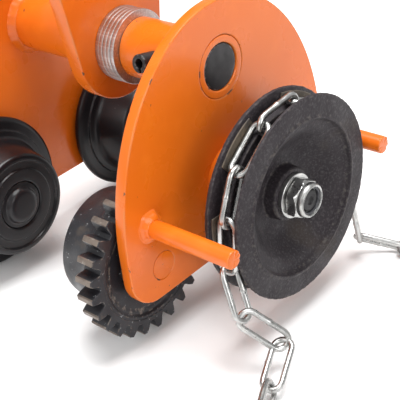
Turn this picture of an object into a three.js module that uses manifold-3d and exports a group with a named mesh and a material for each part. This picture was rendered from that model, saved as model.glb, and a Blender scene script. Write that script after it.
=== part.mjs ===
// Geared beam trolley, standing on its wheels with the load hanger upwards.
// Millimetres. +X runs along the crossbar towards the hand chain wheel, +Y along the beam, +Z up.
// The origin is on the floor, midway between the outermost faces of the trolley.

import * as THREE from 'three';
import { mergeVertices } from 'three/addons/utils/BufferGeometryUtils.js';
import Module from 'manifold-3d';

const wasm = await Module();
wasm.setup();

// ---- driving dimensions ----

const runningGap = 0.3; // clearance between neighbouring pieces

const plateGap = 169.5; // between the inner faces of the side plates
const plateThickness = 8;
const plateHalfWidth = 101;
const plateBelowAxle = 22; // bottom edge under the axle line
const plateCornerRadius = 22;
const domeAboveAxle = 20; // height over the axles where the dome starts
const domeRise = 130;

const driveRise = 30; // drive shaft over the axles
const gearModule = 4;
const wheelTeeth = 25;
const pinionTeeth = 14;
const wheelAddendum = 3.2;
const wheelDedendum = 5;
const pinionAddendum = 4;
const pinionDedendum = 4.4;
const toothBacklash = 0.5;
const pinionTurn = 0.41; // share of a tooth pitch the pinion stands turned by
const gearFace = 14;
const gearToPlate = 3.2; // from the plate to the toothed flange

const plainFlangeRadius = 57.2; // the trolley stands on these flanges
const plainFlangeWidth = 6.5;
const plainStepRadius = 48;
const treadLength = 29.5;
const treadRootRadius = 42;
const treadEndRadius = 37.5;
const wheelBoreRadius = 17.3;
const flangeStepWidth = 2;

const axleRadius = 10;
const axleSpigotRadius = 9;
const axleShoulderRadius = 13;
const bearingOuterRadius = 23.5; // a 20 x 47 x 14 bearing
const bearingInnerRaceRadius = 13.6;
const bearingWidth = 14;
const bearingToPlate = 5;
const circlipRadius = 13.5;
const circlipThickness = 1.2;

const shaftRise = 77; // suspension shaft over the drive shaft
const shaftRadius = 15;
const shaftRecess = 0.7;
const sleeveRadius = 20;
const lockPinRadius = 6;
const lockPinBore = 3;
const lockPinFromPlate = 31;
const lockPinProud = 13;
const lockPinTilt = 12 * Math.PI / 180;

const washerRadius = 25;
const washerThickness = 3.1;
const washersPerSide = 5;

const hangerThickness = 12;
const hangerFootRadius = 38.5;
const hangerHeadRadius = 52.5;
const hangerHeadRise = 95; // load eye over the suspension shaft
const hangerEyeRadius = 21;

const rodRadius = 6;
const rodLength = 66.4;
const rodToHandWheel = 6; // between the rod and the rim, side to side
const rodAboveDrive = 2.5;

const handWheelRadius = 67;
const handWheelStandOff = 59.5; // plate face to the front of the hand wheel
const handWheelFlange = 4.7;
const handWheelBossRadius = 16.5;
const handWheelBossRecess = 10.3; // front face of the boss behind the front flange
const handWheelHubRadius = 20;
const handWheelHubToPlate = 15.3;
const driveShaftRadius = 12.5;
const driveSeatRadius = 10;
const driveThreadRadius = 8;
const bushRadius = 17;
const bushFlangeRadius = 21;
const bushFlangeThickness = 2.5;
const bossRadius = 24;
const bossLength = 14;
const keySize = 6;
const keyLength = 20;
const lockWasherRadius = 15;
const lockWasherThickness = 3;
const nutAcrossFlats = 24;
const nutHexHeight = 8;
const nutCollarRadius = 11.6;
const nutHeight = 12.5;

const linkWire = 3.9;
const linkOuterWidth = 16;
const linkInnerLength = 32;
const linkSlack = 0.7;
const linksPerTurn = 12;
const firstJointAngle = 170; // degrees round the hand wheel, seen from its front

const coilFromWheel = 200.95; // middle of the coil to the chain's plane
const coilMeanRadius = 80;
const coilTurnsAcross = 2;
const coilTurnsHigh = 4;
const coilTurnStep = 16;
const coilLayerStep = 14;
const strandRadius = 6.4; // round the links of a strand that lies on the floor

// ---- derived dimensions ----

const gearTipRadius = gearModule * wheelTeeth / 2 + wheelAddendum;
const axleHeight = Math.max(plainFlangeRadius, gearTipRadius);
const centreDistance = gearModule * (wheelTeeth + pinionTeeth) / 2;
const wheelBase = 2 * Math.sqrt(centreDistance ** 2 - driveRise ** 2); // axle to axle on one plate
const driveHeight = axleHeight + driveRise;
const gearStepRadius = gearModule * wheelTeeth / 2 - wheelDedendum - 1;
const rodSpread = handWheelRadius + rodRadius + rodToHandWheel; // from the middle plane
const shaftHeight = driveHeight + shaftRise;
const handWheelWidth = linkOuterWidth + 2 * (runningGap + handWheelFlange);
const plateInner = plateGap / 2;
const plateOuter = plateInner + plateThickness;
const handWheelFront = plateOuter + handWheelStandOff;
const nutFront = handWheelFront - handWheelBossRecess + lockWasherThickness + nutHeight + 2 * runningGap;
const nearEnd = Math.max(plateOuter + rodLength, nutFront);
const originShift = (nearEnd - plateOuter) / 2;
const washerPitch = washerThickness + runningGap;
const sleeveEnd = hangerThickness / 2 + washersPerSide * washerPitch + runningGap;
const chainPlane = handWheelFront - handWheelWidth / 2;
const linkPitch = linkInnerLength - linkSlack;
const chainRadius = linkPitch / (2 * Math.sin(Math.PI / linksPerTurn));

// ---- materials ----

const finish = (color, roughness, metalness) =>
  new THREE.MeshStandardMaterial({ color, roughness, metalness });
const orangePaint = finish(0xe8711c, 0.4, 0);
const blackGloss = finish(0x17141a, 0.25, 0);
const castIron = finish(0x3b383a, 0.7, 0.6);
const gearSteel = finish(0x45434a, 0.55, 0.7);
const blackSteel = finish(0x1d1b1f, 0.45, 0.6);
const zincPlate = finish(0xc9c9c6, 0.3, 1);
const brightSteel = finish(0xb9b7b3, 0.35, 1);
const bronze = finish(0xb08b4f, 0.4, 1);

// ---- making solids ----

const trolley = new THREE.Group();
trolley.position.x = -originShift;
const model = new THREE.Group();
model.add(trolley);

const merged = (geometry) => {
  const plain = geometry.index ? geometry.clone() : geometry;
  plain.deleteAttribute('normal');
  plain.deleteAttribute('uv');
  return mergeVertices(plain, 1e-4);
};

const solid = (geometry) => {
  const plain = merged(geometry);
  return new wasm.Manifold(new wasm.Mesh({
    numProp: 3,
    vertProperties: new Float32Array(plain.attributes.position.array),
    triVerts: new Uint32Array(plain.index.array),
  }));
};

const geometryOf = (body) => {
  const cut = body.getMesh();
  const geometry = new THREE.BufferGeometry();
  geometry.setAttribute('position', new THREE.BufferAttribute(cut.vertProperties, 3));
  geometry.setIndex(new THREE.BufferAttribute(cut.triVerts, 1));
  geometry.computeVertexNormals();
  return geometry;
};

const place = (name, shape, material, parent, x = 0, y = 0, z = 0) => {
  const geometry = shape.isBufferGeometry ? shape : geometryOf(shape);
  const mesh = new THREE.Mesh(geometry, material);
  mesh.name = name;
  mesh.position.set(x, y, z);
  parent.add(mesh);
  return mesh;
};

// A turned piece about the X axis: the profile is a list of [distance along X, radius] pairs.
const turned = (profile, segments) => {
  const points = profile.map(([along, radius]) => new THREE.Vector2(radius, along));
  return new THREE.LatheGeometry(points, segments).rotateZ(-Math.PI / 2);
};

const disc = (from, to, radius, segments = 20) =>
  turned([[from, 0], [from, radius], [to, radius], [to, 0]], segments);

const ring = (from, to, inner, outer, segments = 20) =>
  turned([[from, inner], [from, outer], [to, outer], [to, inner], [from, inner]], segments);

// A flat outline drawn in Y and Z, thick along X.
const acrossX = new THREE.Matrix4().makeBasis(
  new THREE.Vector3(0, 1, 0), new THREE.Vector3(0, 0, 1), new THREE.Vector3(1, 0, 0));
const slab = (shape, from, to, curveSegments = 12) =>
  new THREE.ExtrudeGeometry(shape, { depth: to - from, bevelEnabled: false, curveSegments })
    .applyMatrix4(acrossX).translate(from, 0, 0);

const moved = (body, x, y, z) => body.translate([x, y, z]);

// Turns a piece drawn for the near side round to the far side.
const turnedRound = (group) => {
  group.rotation.z = Math.PI;
  return group;
};

const nearSide = new THREE.Group();
const farSide = turnedRound(new THREE.Group());
trolley.add(nearSide, farSide);

// ---- side plates, sleeves, shaft and lock pins ----

const plateOutline = () => {
  const shape = new THREE.Shape();
  const bottom = axleHeight - plateBelowAxle;
  const dome = axleHeight + domeAboveAxle;
  shape.moveTo(-plateHalfWidth + plateCornerRadius, bottom);
  shape.lineTo(plateHalfWidth - plateCornerRadius, bottom);
  shape.absarc(plateHalfWidth - plateCornerRadius, bottom + plateCornerRadius,
    plateCornerRadius, -Math.PI / 2, 0, false);
  shape.absellipse(0, dome, plateHalfWidth, domeRise, 0, Math.PI, false, 0);
  shape.absarc(-plateHalfWidth + plateCornerRadius, bottom + plateCornerRadius,
    plateCornerRadius, Math.PI, 1.5 * Math.PI, false);
  return shape;
};

const axlePlaces = [-wheelBase / 2, wheelBase / 2];

const sidePlate = (extraHoles) => {
  let plate = solid(slab(plateOutline(), plateInner, plateOuter, 14));
  const holes = [
    ...axlePlaces.map((y) => [y, axleHeight, axleSpigotRadius]),
    [0, shaftHeight, sleeveRadius],
    ...extraHoles,
  ];
  for (const [y, z, radius] of holes) {
    const cutter = solid(disc(plateInner - 1, plateOuter + 1, radius + runningGap));
    plate = plate.subtract(moved(cutter, 0, y, z));
  }
  return plate;
};

// The near plate carries a welded boss round the drive shaft's bush.
const nearPlate = () => {
  const plate = sidePlate([[0, driveHeight, bushRadius]]);
  const boss = ring(plateOuter - 1, plateOuter + bossLength, bushRadius + runningGap, bossRadius);
  return plate.add(moved(solid(boss), 0, 0, driveHeight));
};
place('near_side_plate', nearPlate(), orangePaint, nearSide);
place('far_side_plate', sidePlate([]), orangePaint, farSide);

// The lock pin enters from the wheel side, a little above level, and ends past the shaft's middle.
const lockPinAlong = plateInner - lockPinFromPlate;
const lockPinTip = sleeveRadius + lockPinProud;
const lockPinDepth = shaftRadius / 2;
const radially = (geometry, along) => {
  geometry.rotateZ(-Math.PI / 2);
  geometry.rotateX(-lockPinTilt);
  return geometry.translate(along, 0, 0);
};
const pinHole = (radius) => radially(disc(-lockPinDepth - 1, lockPinTip + 1, radius), lockPinAlong);

const sleeve = () => {
  const tube = solid(ring(sleeveEnd, plateOuter, shaftRadius + runningGap, sleeveRadius, 24));
  return tube.subtract(solid(pinHole(lockPinRadius + runningGap)));
};

const lockPin = () => {
  const tube = solid(ring(-lockPinDepth, lockPinTip, lockPinBore, lockPinRadius, 12));
  const slit = solid(new THREE.BoxGeometry(2 * lockPinTip + 2, lockPinRadius, 1.2)
    .translate(0, lockPinRadius, 0));
  return radially(geometryOf(tube.subtract(slit)), lockPinAlong);
};

for (const [side, group] of [['near', nearSide], ['far', farSide]]) {
  place(`${side}_sleeve`, sleeve(), orangePaint, group, 0, 0, shaftHeight);
  place(`${side}_lock_pin`, lockPin(), blackSteel, group, 0, 0, shaftHeight);
  for (let i = 0; i < washersPerSide; i++) {
    const from = hangerThickness / 2 + runningGap + i * washerPitch;
    const washer = ring(from, from + washerThickness, shaftRadius + runningGap, washerRadius);
    place(`${side}_washer_${i + 1}`, washer, zincPlate, group, 0, 0, shaftHeight);
  }
}

const suspensionShaft = () => {
  const reach = plateOuter - shaftRecess;
  const bar = solid(disc(-reach, reach, shaftRadius, 24));
  const nearHole = solid(pinHole(lockPinRadius + runningGap));
  const farHole = nearHole.rotate([0, 0, 180]);
  return bar.subtract(nearHole).subtract(farHole);
};
place('suspension_shaft', suspensionShaft(), blackSteel, trolley, 0, 0, shaftHeight);

// ---- load hanger ----

const hanger = () => {
  const lean = Math.asin((hangerHeadRadius - hangerFootRadius) / hangerHeadRise);
  const shape = new THREE.Shape();
  shape.absarc(0, 0, hangerFootRadius, Math.PI + lean, 2 * Math.PI - lean, false);
  shape.absarc(0, hangerHeadRise, hangerHeadRadius, -lean, Math.PI + lean, false);
  const plate = solid(slab(shape, -hangerThickness / 2, hangerThickness / 2, 14));
  const shaftHole = solid(disc(-hangerThickness, hangerThickness, shaftRadius + runningGap));
  const eye = solid(disc(-hangerThickness, hangerThickness, hangerEyeRadius, 28));
  return plate.subtract(shaftHole).subtract(moved(eye, 0, 0, hangerHeadRise));
};
place('hanger_plate', hanger(), orangePaint, trolley, 0, 0, shaftHeight);

// ---- chain guide rods, welded to the near plate ----

const guideRod = () => turned([
  [plateOuter + runningGap, 0],
  [plateOuter + runningGap, rodRadius + 3],
  [plateOuter + 3, rodRadius + 1],
  [plateOuter + 5, rodRadius],
  [plateOuter + rodLength, rodRadius],
  [plateOuter + rodLength, 0],
], 12);
for (const [side, y] of [['front', -rodSpread], ['back', rodSpread]]) {
  place(`${side}_guide_rod`, guideRod(), orangePaint, nearSide, 0, y, driveHeight + rodAboveDrive);
}

// ---- gear teeth ----

// One flank of an involute tooth, from the root to the tip, as [radius, half thickness angle].
const flank = (teeth, addendum, dedendum) => {
  const pitchRadius = gearModule * teeth / 2;
  const pressureAngle = 20 * Math.PI / 180;
  const baseRadius = pitchRadius * Math.cos(pressureAngle);
  const involute = (angle) => Math.tan(angle) - angle;
  const halfAtPitch = Math.PI / (2 * teeth) - toothBacklash / (2 * pitchRadius);
  const tip = pitchRadius + addendum;
  const root = pitchRadius - dedendum;
  const start = Math.max(baseRadius, root);
  const steps = 2;
  const points = [[root, halfAtPitch + involute(pressureAngle) + (start > root ? 0.012 : 0)]];
  for (let i = 0; i <= steps; i++) {
    const radius = start + (tip - start) * i / steps;
    const angle = Math.acos(Math.min(1, baseRadius / radius));
    points.push([radius, halfAtPitch + involute(pressureAngle) - involute(angle)]);
  }
  return points;
};

const gearShape = (teeth, addendum, dedendum, firstTooth) => {
  const profile = flank(teeth, addendum, dedendum);
  const outline = [];
  for (let i = 0; i < teeth; i++) {
    const middle = firstTooth + i * 2 * Math.PI / teeth;
    const rising = profile.map(([radius, half]) => [radius, middle - half]);
    const falling = profile.map(([radius, half]) => [radius, middle + half]).reverse();
    for (const [radius, angle] of [...rising, ...falling]) {
      outline.push(new THREE.Vector2(radius * Math.cos(angle), radius * Math.sin(angle)));
    }
  }
  return new THREE.Shape(outline);
};

// Each wheel is turned until it meshes with the pinion.
const toPinion = (y) => Math.atan2(driveHeight - axleHeight, -y);
const pinionPitch = 2 * Math.PI / pinionTeeth;
const wheelPitch = 2 * Math.PI / wheelTeeth;
const pinionPhase = toPinion(axlePlaces[0]) + Math.PI + pinionTurn * pinionPitch;
const wheelPhase = (y) => {
  const fromPinion = toPinion(y) + Math.PI;
  const offset = (pinionPhase - fromPinion) / pinionPitch;
  return toPinion(y) + (0.5 - offset) * wheelPitch;
};

// ---- wheels, axles and bearings ----

const wheelSeatEnd = bearingToPlate + bearingWidth + runningGap;

// Distances run from the plate's inner face towards the middle of the trolley.
const wheelProfile = (flangeEnd, bodyStart, stepRadius) => {
  const end = flangeEnd + treadLength;
  const seat = bearingOuterRadius + runningGap;
  return [
    [bodyStart, seat],
    [bodyStart, stepRadius],
    [flangeEnd + flangeStepWidth, stepRadius],
    [flangeEnd + flangeStepWidth, treadRootRadius],
    [end - 2, treadEndRadius],
    [end, treadEndRadius - 2],
    [end, wheelBoreRadius],
    [wheelSeatEnd, wheelBoreRadius],
    [wheelSeatEnd, seat],
    [bodyStart, seat],
  ];
};

const plainWheel = () => {
  const flangeEnd = gearToPlate + plainFlangeWidth;
  const body = solid(turned(wheelProfile(flangeEnd, gearToPlate, plainStepRadius), 24));
  const seat = bearingOuterRadius + 2;
  const flange = solid(ring(gearToPlate, flangeEnd, seat, plainFlangeRadius, 36));
  return body.add(flange);
};

const gearedWheel = (phase) => {
  const flangeEnd = gearToPlate + gearFace;
  const body = solid(turned(wheelProfile(flangeEnd, gearToPlate, gearStepRadius), 24));
  const teeth = solid(slab(
    gearShape(wheelTeeth, wheelAddendum, wheelDedendum, phase), gearToPlate, flangeEnd));
  const core = solid(disc(gearToPlate - 1, flangeEnd + 1, bearingOuterRadius + 2, 24));
  return body.add(teeth.subtract(core));
};

const axle = () => turned([
  [-plateThickness, 0],
  [-plateThickness, axleSpigotRadius],
  [runningGap, axleSpigotRadius],
  [runningGap, axleShoulderRadius],
  [bearingToPlate - runningGap, axleShoulderRadius],
  [bearingToPlate - runningGap, axleRadius],
  [wheelSeatEnd + runningGap, axleRadius],
  [wheelSeatEnd + runningGap, axleRadius - 1],
  [wheelSeatEnd + circlipThickness + 3 * runningGap, axleRadius - 1],
  [wheelSeatEnd + circlipThickness + 3 * runningGap, axleRadius],
  [wheelSeatEnd + 5, axleRadius],
  [wheelSeatEnd + 5, 0],
], 16);

const innerRace = () => ring(bearingToPlate, bearingToPlate + bearingWidth,
  axleRadius + runningGap, bearingInnerRaceRadius, 16);

// The outer race with its balls and its two seals, as one block.
const outerRace = () => ring(bearingToPlate, bearingToPlate + bearingWidth,
  bearingInnerRaceRadius + runningGap, bearingOuterRadius, 16);

const circlip = () => {
  const from = wheelSeatEnd + 2 * runningGap;
  const whole = solid(ring(from, from + circlipThickness,
    axleRadius - 1 + runningGap, circlipRadius, 16));
  const gap = solid(new THREE.BoxGeometry(10, 6, 10).translate(from, 0, -axleRadius - 2));
  return whole.subtract(gap);
};

// The pressed cap that closes the bore at the front of a wheel.
const hubCap = (end) => turned([
  [end - 6, wheelBoreRadius - 1.8],
  [end - 6, wheelBoreRadius - runningGap],
  [end + 1.2, wheelBoreRadius - runningGap],
  [end + 3, wheelBoreRadius - 4],
  [end + 3.6, 0],
  [end + 2.1, 0],
  [end + 1.6, wheelBoreRadius - 4.6],
  [end, wheelBoreRadius - 1.8],
  [end - 6, wheelBoreRadius - 1.8],
], 16);

// Wheels are drawn with X running inwards from the plate.
const atPlate = (parent, y) => {
  const group = new THREE.Group();
  group.position.set(plateInner, y, axleHeight);
  group.scale.x = -1;
  parent.add(group);
  return group;
};

// A mirrored copy with its faces turned the right way out again.
const inwards = (shape) => {
  const body = shape.isBufferGeometry ? solid(shape) : shape;
  return body.mirror([1, 0, 0]);
};

const gearEnd = gearToPlate + gearFace + treadLength;
const plainEnd = gearToPlate + plainFlangeWidth + treadLength;

for (const [side, y] of [['front', axlePlaces[0]], ['back', axlePlaces[1]]]) {
  const pieces = {
    near: [`near_${side}_geared_wheel`, gearedWheel(wheelPhase(y)), gearSteel, gearEnd, nearSide, y],
    far: [`far_${side}_plain_wheel`, plainWheel(), blackGloss, plainEnd, farSide, -y],
  };
  for (const [end, [name, wheel, material, front, group, across]] of Object.entries(pieces)) {
    const at = [plateInner, across, axleHeight];
    place(name, inwards(wheel), material, group, ...at);
    place(`${end}_${side}_hub_cap`, inwards(hubCap(front)), blackGloss, group, ...at);
    place(`${end}_${side}_axle`, inwards(axle()), blackSteel, group, ...at);
    place(`${end}_${side}_inner_race`, inwards(innerRace()), brightSteel, group, ...at);
    place(`${end}_${side}_outer_race`, inwards(outerRace()), brightSteel, group, ...at);
    place(`${end}_${side}_circlip`, inwards(circlip()), blackSteel, group, ...at);
  }
}

// ---- drive shaft, pinion and their bush ----

const drive = new THREE.Group();
drive.position.z = driveHeight;
nearSide.add(drive);

const bushEnd = plateOuter + bossLength;
const hubStart = plateOuter + handWheelHubToPlate;
const bossFront = handWheelFront - handWheelBossRecess;
const keyMiddle = hubStart + 4 + keyLength / 2;

const keySlot = (clearance) => solid(
  new THREE.BoxGeometry(keyLength + 2 * clearance, keySize + 2 * clearance, keySize + 2 * clearance)
    .translate(keyMiddle, 0, driveSeatRadius));

const driveShaft = () => {
  const pinionStart = plateInner - gearToPlate - gearFace;
  const pinionEnd = plateInner - gearToPlate;
  const teeth = solid(slab(
    gearShape(pinionTeeth, pinionAddendum, pinionDedendum, pinionPhase), pinionStart, pinionEnd));
  const bar = solid(turned([
    [pinionStart - 1.5, 0],
    [pinionStart - 1.5, driveShaftRadius],
    [hubStart - runningGap, driveShaftRadius],
    [hubStart - runningGap, driveSeatRadius],
    [bossFront - 2, driveSeatRadius],
    [bossFront - 2, driveThreadRadius],
    [nutFront - 2, driveThreadRadius],
    [nutFront - 2, 0],
  ], 20));
  return bar.add(teeth).subtract(keySlot(runningGap));
};
place('drive_shaft', driveShaft(), blackSteel, drive);

place('drive_key', new THREE.BoxGeometry(keyLength, keySize, keySize)
  .translate(keyMiddle, 0, driveSeatRadius), brightSteel, drive);

place('drive_bush', turned([
  [plateInner - runningGap - bushFlangeThickness, driveShaftRadius + runningGap],
  [plateInner - runningGap - bushFlangeThickness, bushFlangeRadius],
  [plateInner - runningGap, bushFlangeRadius],
  [plateInner - runningGap, bushRadius],
  [bushEnd, bushRadius],
  [bushEnd, driveShaftRadius + runningGap],
  [plateInner - runningGap - bushFlangeThickness, driveShaftRadius + runningGap],
], 18), bronze, drive);

// ---- hand chain wheel and its fastening ----

const handWheel = () => {
  const back = handWheelFront - handWheelWidth;
  const webFront = back + 8;
  const grooveMiddle = chainPlane;
  const seat = driveSeatRadius + runningGap;
  const pocketHalf = handWheelWidth / 2 - handWheelFlange;
  const pocketFloor = chainRadius * Math.cos(Math.PI / linksPerTurn) - linkWire / 2 - 0.6;
  const slotHalf = linkWire / 2 + 0.6;
  const slotFloor = pocketFloor - linkOuterWidth / 2 + linkWire / 2;
  const profile = [
    [hubStart, seat],
    [hubStart, handWheelHubRadius],
    [back, handWheelHubRadius + 4],
    [back, handWheelRadius],
    [grooveMiddle - pocketHalf - 1, handWheelRadius],
    [grooveMiddle - pocketHalf, pocketFloor],
    [grooveMiddle - slotHalf, pocketFloor],
    [grooveMiddle - slotHalf, slotFloor],
    [grooveMiddle + slotHalf, slotFloor],
    [grooveMiddle + slotHalf, pocketFloor],
    [grooveMiddle + pocketHalf, pocketFloor],
    [grooveMiddle + pocketHalf + 1, handWheelRadius],
    [handWheelFront, handWheelRadius],
    [handWheelFront, 50],
    [handWheelFront - 2, 48],
    [webFront + 3, 32],
    [webFront, 24],
    [webFront, handWheelBossRadius + 1.5],
    [bossFront, handWheelBossRadius],
    [bossFront, seat],
    [hubStart, seat],
  ];
  return solid(turned(profile, 36)).subtract(keySlot(runningGap));
};
place('hand_chain_wheel', handWheel(), castIron, drive);

place('hand_wheel_washer', ring(bossFront + runningGap, bossFront + runningGap + lockWasherThickness,
  driveThreadRadius + runningGap, lockWasherRadius), zincPlate, drive);

const lockNut = () => {
  const from = bossFront + 2 * runningGap + lockWasherThickness;
  const hexRadius = nutAcrossFlats / 2 / Math.cos(Math.PI / 6);
  const hex = solid(disc(from, from + nutHexHeight, hexRadius, 6));
  const collar = solid(turned([
    [from + 1, 0],
    [from + 1, nutCollarRadius],
    [from + nutHeight - 2, nutCollarRadius],
    [from + nutHeight, nutCollarRadius - 2],
    [from + nutHeight, 0],
  ], 18));
  const hole = solid(disc(from - 1, from + nutHeight + 1, driveThreadRadius + runningGap));
  return hex.add(collar).subtract(hole);
};
place('lock_nut', lockNut(), zincPlate, drive);

// ---- hand chain ----

// A chain link along X in the XY plane: a ring pulled out to the link's length.
const linkGeometry = () => {
  const wireRadius = linkWire / 2;
  const across = 14;
  const ringGeometry = new THREE.TorusGeometry(linkOuterWidth / 2 - wireRadius, wireRadius, 6, across);
  const reach = (linkInnerLength + linkWire) / 2 - (linkOuterWidth / 2 - wireRadius);
  const position = ringGeometry.attributes.position;
  for (let i = 0; i < position.count; i++) {
    position.setX(i, position.getX(i) + Math.sign(position.getX(i)) * reach);
  }
  return merged(ringGeometry);
};

// Joints of the links on the wheel, front to back, as [y, z] from the wheel's centre.
const onWheel = (degrees) => {
  const angle = THREE.MathUtils.degToRad(degrees);
  return new THREE.Vector2(chainRadius * Math.cos(angle), chainRadius * Math.sin(angle));
};
const linkTurn = 360 / linksPerTurn;
const strandLean = THREE.MathUtils.degToRad(6);
const downFrom = (joint, outward) => new THREE.Vector2(
  joint.x + outward * linkPitch * Math.sin(strandLean), joint.y - linkPitch * Math.cos(strandLean));
const frontJoint = onWheel(firstJointAngle);
const backJoint = onWheel(firstJointAngle - 5 * linkTurn);
const chainJoints = [downFrom(frontJoint, -1)];
for (let i = 0; i <= 5; i++) chainJoints.push(onWheel(firstJointAngle - i * linkTurn));
chainJoints.push(downFrom(backJoint, 1));

for (let i = 0; i + 1 < chainJoints.length; i++) {
  const from = chainJoints[i];
  const along = chainJoints[i + 1].clone().sub(from);
  const middle = from.clone().addScaledVector(along, 0.5);
  const direction = new THREE.Vector3(0, along.x, along.y).normalize();
  const axial = new THREE.Vector3(1, 0, 0);
  const wide = i % 2 === 0 ? axial : new THREE.Vector3().crossVectors(axial, direction);
  const third = new THREE.Vector3().crossVectors(direction, wide);
  const turn = new THREE.Matrix4().makeBasis(direction, wide, third);
  const link = linkGeometry().applyMatrix4(turn);
  place(`chain_link_${i + 1}`, link, zincPlate, nearSide,
    chainPlane, middle.x, driveHeight + middle.y);
}

// The free strands: down from the wheel, then along the floor. X is counted from the chain's plane.
const floorHeight = strandRadius + 0.2;
const wheelPlane = chainPlane - originShift;
const frontRoute = [
  [0.25, -64.4, 60.2], [3.35, -66.8, 52], [10.95, -69.5, 42], [21.95, -64, 29.5],
  [31.45, -55, 18.5], [37.15, -57, 11.5], [39.95, -68, 7.6], [41.95, -81, floorHeight],
  [45.45, -96, floorHeight], [52.95, -108, floorHeight], [64.95, -116, floorHeight],
  [79.95, -118, floorHeight], [99.95, -114, floorHeight], [129.95, -103, floorHeight],
  [157.95, -95.5, floorHeight],
];
const backRoute = [
  [0, 62.4, 70.8], [0.05, 65.3, 58], [0.55, 70.5, 38], [1.95, 72, 21], [6.45, 72.5, 9.5],
  [14.95, 76.5, floorHeight], [25.95, 85.5, floorHeight], [40.95, 92.5, floorHeight],
  [61.95, 95, floorHeight], [85.95, 95, 7.5], [108.95, 95, 14], [133.95, 95, 27.5],
  [157.95, 95.5, 40],
];
const strand = (route) => {
  const path = new THREE.CatmullRomCurve3(
    route.map(([x, y, z]) => new THREE.Vector3(wheelPlane + x, y, z)));
  const section = new THREE.Shape(new THREE.Path().absarc(0, 0, strandRadius, 0, 2 * Math.PI)
    .getPoints(8).slice(0, 8));
  const steps = Math.round(path.getLength() / (1.2 * linkOuterWidth));
  return new THREE.ExtrudeGeometry(section, { steps, extrudePath: path, bevelEnabled: false });
};
place('chain_front_strand', strand(frontRoute), zincPlate, model);
place('chain_back_strand', strand(backRoute), zincPlate, model);

const coil = () => {
  const half = coilTurnsAcross * coilTurnStep / 2;
  const inner = coilMeanRadius - half;
  const outer = coilMeanRadius + half;
  const height = coilLayerStep * (coilTurnsHigh - 1) + 2 * strandRadius;
  const points = [[inner, 0], [outer, 0], [outer, height], [inner, height], [inner, 0]]
    .map(([radius, z]) => new THREE.Vector2(radius, z));
  return new THREE.LatheGeometry(points, 24).rotateX(Math.PI / 2);
};
place('chain_coil', coil(), zincPlate, model, wheelPlane + coilFromWheel, 0, 0);

export default model;
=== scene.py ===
from math import acos, asin, atan2, cos, degrees, exp, pi, radians, sin, tan
import random
import bpy
from mathutils import Matrix, Vector, noise
from mathutils.geometry import tessellate_polygon


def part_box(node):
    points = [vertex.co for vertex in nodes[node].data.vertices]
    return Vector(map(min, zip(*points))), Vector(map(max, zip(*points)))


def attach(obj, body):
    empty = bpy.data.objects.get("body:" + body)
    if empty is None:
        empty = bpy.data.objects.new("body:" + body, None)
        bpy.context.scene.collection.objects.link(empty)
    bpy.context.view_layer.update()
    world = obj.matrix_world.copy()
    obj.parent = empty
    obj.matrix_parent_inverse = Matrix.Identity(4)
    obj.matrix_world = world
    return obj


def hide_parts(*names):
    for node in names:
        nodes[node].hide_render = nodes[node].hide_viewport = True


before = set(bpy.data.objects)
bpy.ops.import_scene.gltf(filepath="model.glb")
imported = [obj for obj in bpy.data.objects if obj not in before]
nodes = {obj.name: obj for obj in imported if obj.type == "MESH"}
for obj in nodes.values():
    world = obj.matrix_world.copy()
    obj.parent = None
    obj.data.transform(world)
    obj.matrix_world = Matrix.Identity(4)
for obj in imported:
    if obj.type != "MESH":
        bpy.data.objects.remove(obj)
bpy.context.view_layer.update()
scene = bpy.context.scene
mm = 0.001  # shapes are drawn in millimetres, places are in metres
print("stage: frame loaded,", len(nodes), "nodes")


# Camera

cameraSettings = {
    "place": (0.45185, -0.4362, 0.4224),
    "right": (0.7432, 0.6596, -0.1123),
    "up": (-0.2858, 0.4646, 0.8381),
    "lens": 92.06,
    "shift": (0.0491, 0.0648),
}


def makeCamera(settings):
    data = bpy.data.cameras.new("viewCamera")
    data.lens = settings["lens"]
    data.sensor_width = 36
    data.shift_x, data.shift_y = settings["shift"]
    data.clip_start = 0.02
    camera = bpy.data.objects.new("viewCamera", data)
    scene.collection.objects.link(camera)
    right, up = Vector(settings["right"]), Vector(settings["up"])
    turn = Matrix((right, up, right.cross(up))).transposed()
    camera.matrix_world = Matrix.Translation(settings["place"]) @ turn.to_4x4()
    scene.camera = camera


makeCamera(cameraSettings)
print("stage: camera placed")


# Effects shared by the materials

def newGroup(name, inputs):
    group = bpy.data.node_groups.new(name, "ShaderNodeTree")
    for label, value in inputs:
        socket = group.interface.new_socket(name=label, in_out="INPUT", socket_type="NodeSocketFloat")
        socket.default_value = value
    group.interface.new_socket(name="Mask", in_out="OUTPUT", socket_type="NodeSocketFloat")
    return group, group.nodes.new("NodeGroupInput"), group.nodes.new("NodeGroupOutput")


# Noise cut to a mask that is 0 below Low and 1 above High.
def cutCloud(group, given, vector):
    link = group.links.new
    cloud = group.nodes.new("ShaderNodeTexNoise")
    cut = group.nodes.new("ShaderNodeMapRange")
    link(vector, cloud.inputs["Vector"])
    link(given.outputs["Scale"], cloud.inputs["Scale"])
    link(cloud.outputs["Fac"], cut.inputs["Value"])
    link(given.outputs["Low"], cut.inputs["From Min"])
    link(given.outputs["High"], cut.inputs["From Max"])
    return cloud, cut.outputs["Result"]


def makeGrainGroup():
    inputs = [("Scale", 100.0), ("Detail", 3.0), ("Low", 0.4), ("High", 0.6), ("Stretch", 1.0)]
    group, given, result = newGroup("grain", inputs)
    make, link = group.nodes.new, group.links.new
    place = make("ShaderNodeTexCoord")
    stretch = make("ShaderNodeCombineXYZ")
    stretch.inputs["Y"].default_value = 1
    stretch.inputs["Z"].default_value = 1
    spread = make("ShaderNodeVectorMath")
    spread.operation = "MULTIPLY"
    link(given.outputs["Stretch"], stretch.inputs["X"])
    link(place.outputs["Object"], spread.inputs[0])
    link(stretch.outputs[0], spread.inputs[1])
    cloud, mask = cutCloud(group, given, spread.outputs[0])
    link(given.outputs["Detail"], cloud.inputs["Detail"])
    link(mask, result.inputs["Mask"])
    return group


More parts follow.
